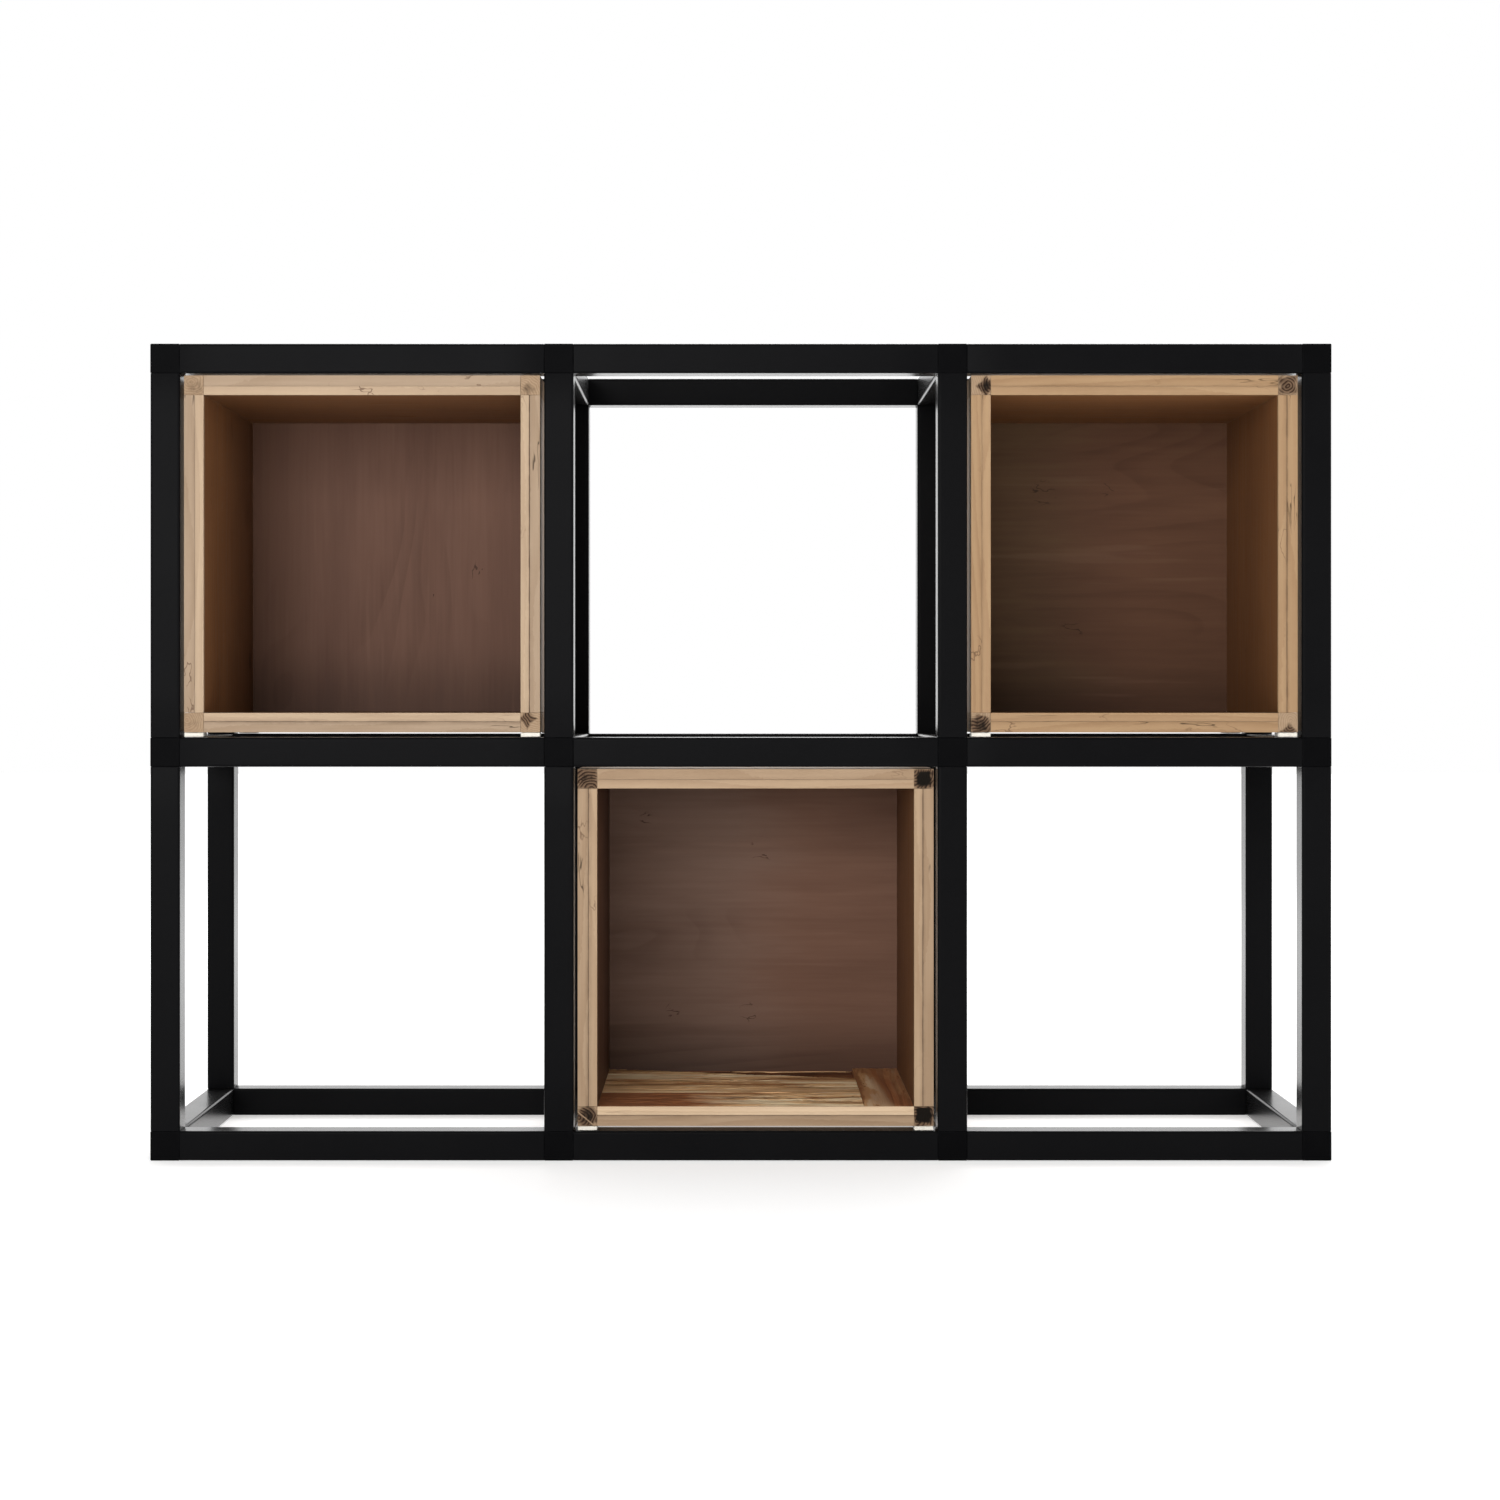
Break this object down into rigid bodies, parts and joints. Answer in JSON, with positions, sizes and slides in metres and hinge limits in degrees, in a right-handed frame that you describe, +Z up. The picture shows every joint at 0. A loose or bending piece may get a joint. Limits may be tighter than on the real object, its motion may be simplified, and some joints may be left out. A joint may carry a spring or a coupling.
{
  "type": "cube storage unit",
  "caption": "Open storage unit of square steel tube pushed together on cube connectors, with open-fronted wooden boxes that stand in some of its bays.",
  "frame": {"origin": "on the floor under the middle of the frame, midway between its front and back and between its two ends", "axes": "+X to the right when facing the open fronts of the boxes, +Y to the back, +Z up"},
  "size_m": [1.2, 0.33, 0.83],
  "materials": {
    "steel_tube": "satin black powder coat",
    "connector": "black moulded plastic, fine matt grain",
    "pine_board": "pale unfinished pine, lightly sanded",
    "stained_lining": "pine stained brown on the inner face, satin",
    "corner_post": "pine with darkened end grain",
    "back_panel": "panel stained grey-brown, satin",
    "felt": "off-white felt",
    "dowel": "fluted beech dowel, unfinished"
  },
  "bodies": {
    "frame": {"front_upright_left": "steel_tube", "front_upright_mid_left": "steel_tube", "front_upright_mid_right": "steel_tube", "front_upright_right": "steel_tube", "front_rail_bottom": "steel_tube", "front_rail_middle": "steel_tube", "front_rail_top": "steel_tube", "front_corner_connectors": "connector", "front_tee_connectors": "connector", "front_cross_connectors": "connector", "back_upright_left": "steel_tube", "back_upright_mid_left": "steel_tube", "back_upright_mid_right": "steel_tube", "back_upright_right": "steel_tube", "back_rail_bottom": "steel_tube", "back_rail_middle": "steel_tube", "back_rail_top": "steel_tube", "back_corner_connectors": "connector", "back_tee_connectors": "connector", "back_cross_connectors": "connector", "depth_tubes_left": "steel_tube", "depth_tubes_mid_left": "steel_tube", "depth_tubes_mid_right": "steel_tube", "depth_tubes_right": "steel_tube"},
    "left_box": {"left_box_bottom_board": "pine_board", "left_box_top_board": "pine_board", "left_box_left_board": "pine_board", "left_box_right_board": "pine_board", "left_box_bottom_lining": "stained_lining", "left_box_top_lining": "stained_lining", "left_box_left_lining": "stained_lining", "left_box_right_lining": "stained_lining", "left_box_corner_posts": "corner_post", "left_box_back_panel": "back_panel", "left_box_felt_glides": "felt", "left_box_dowels": "dowel"},
    "middle_box": {"middle_box_bottom_board": "pine_board", "middle_box_top_board": "pine_board", "middle_box_left_board": "pine_board", "middle_box_right_board": "pine_board", "middle_box_bottom_lining": "stained_lining", "middle_box_top_lining": "stained_lining", "middle_box_left_lining": "stained_lining", "middle_box_right_lining": "stained_lining", "middle_box_corner_posts": "corner_post", "middle_box_back_panel": "back_panel", "middle_box_felt_glides": "felt", "middle_box_dowels": "dowel"},
    "right_box": {"right_box_bottom_board": "pine_board", "right_box_top_board": "pine_board", "right_box_left_board": "pine_board", "right_box_right_board": "pine_board", "right_box_bottom_lining": "stained_lining", "right_box_top_lining": "stained_lining", "right_box_left_lining": "stained_lining", "right_box_right_lining": "stained_lining", "right_box_corner_posts": "corner_post", "right_box_back_panel": "back_panel", "right_box_felt_glides": "felt", "right_box_dowels": "dowel"}
  },
  "joints": [
    {"name": "left_box_slide", "type": "slide", "parent": "frame", "child": "left_box", "axis": [0, -1, 0], "range_m": [0, 0.34]},
    {"name": "middle_box_slide", "type": "slide", "parent": "frame", "child": "middle_box", "axis": [0, -1, 0], "range_m": [0, 0.34]},
    {"name": "right_box_slide", "type": "slide", "parent": "frame", "child": "right_box", "axis": [0, -1, 0], "range_m": [0, 0.34]}
  ]
}
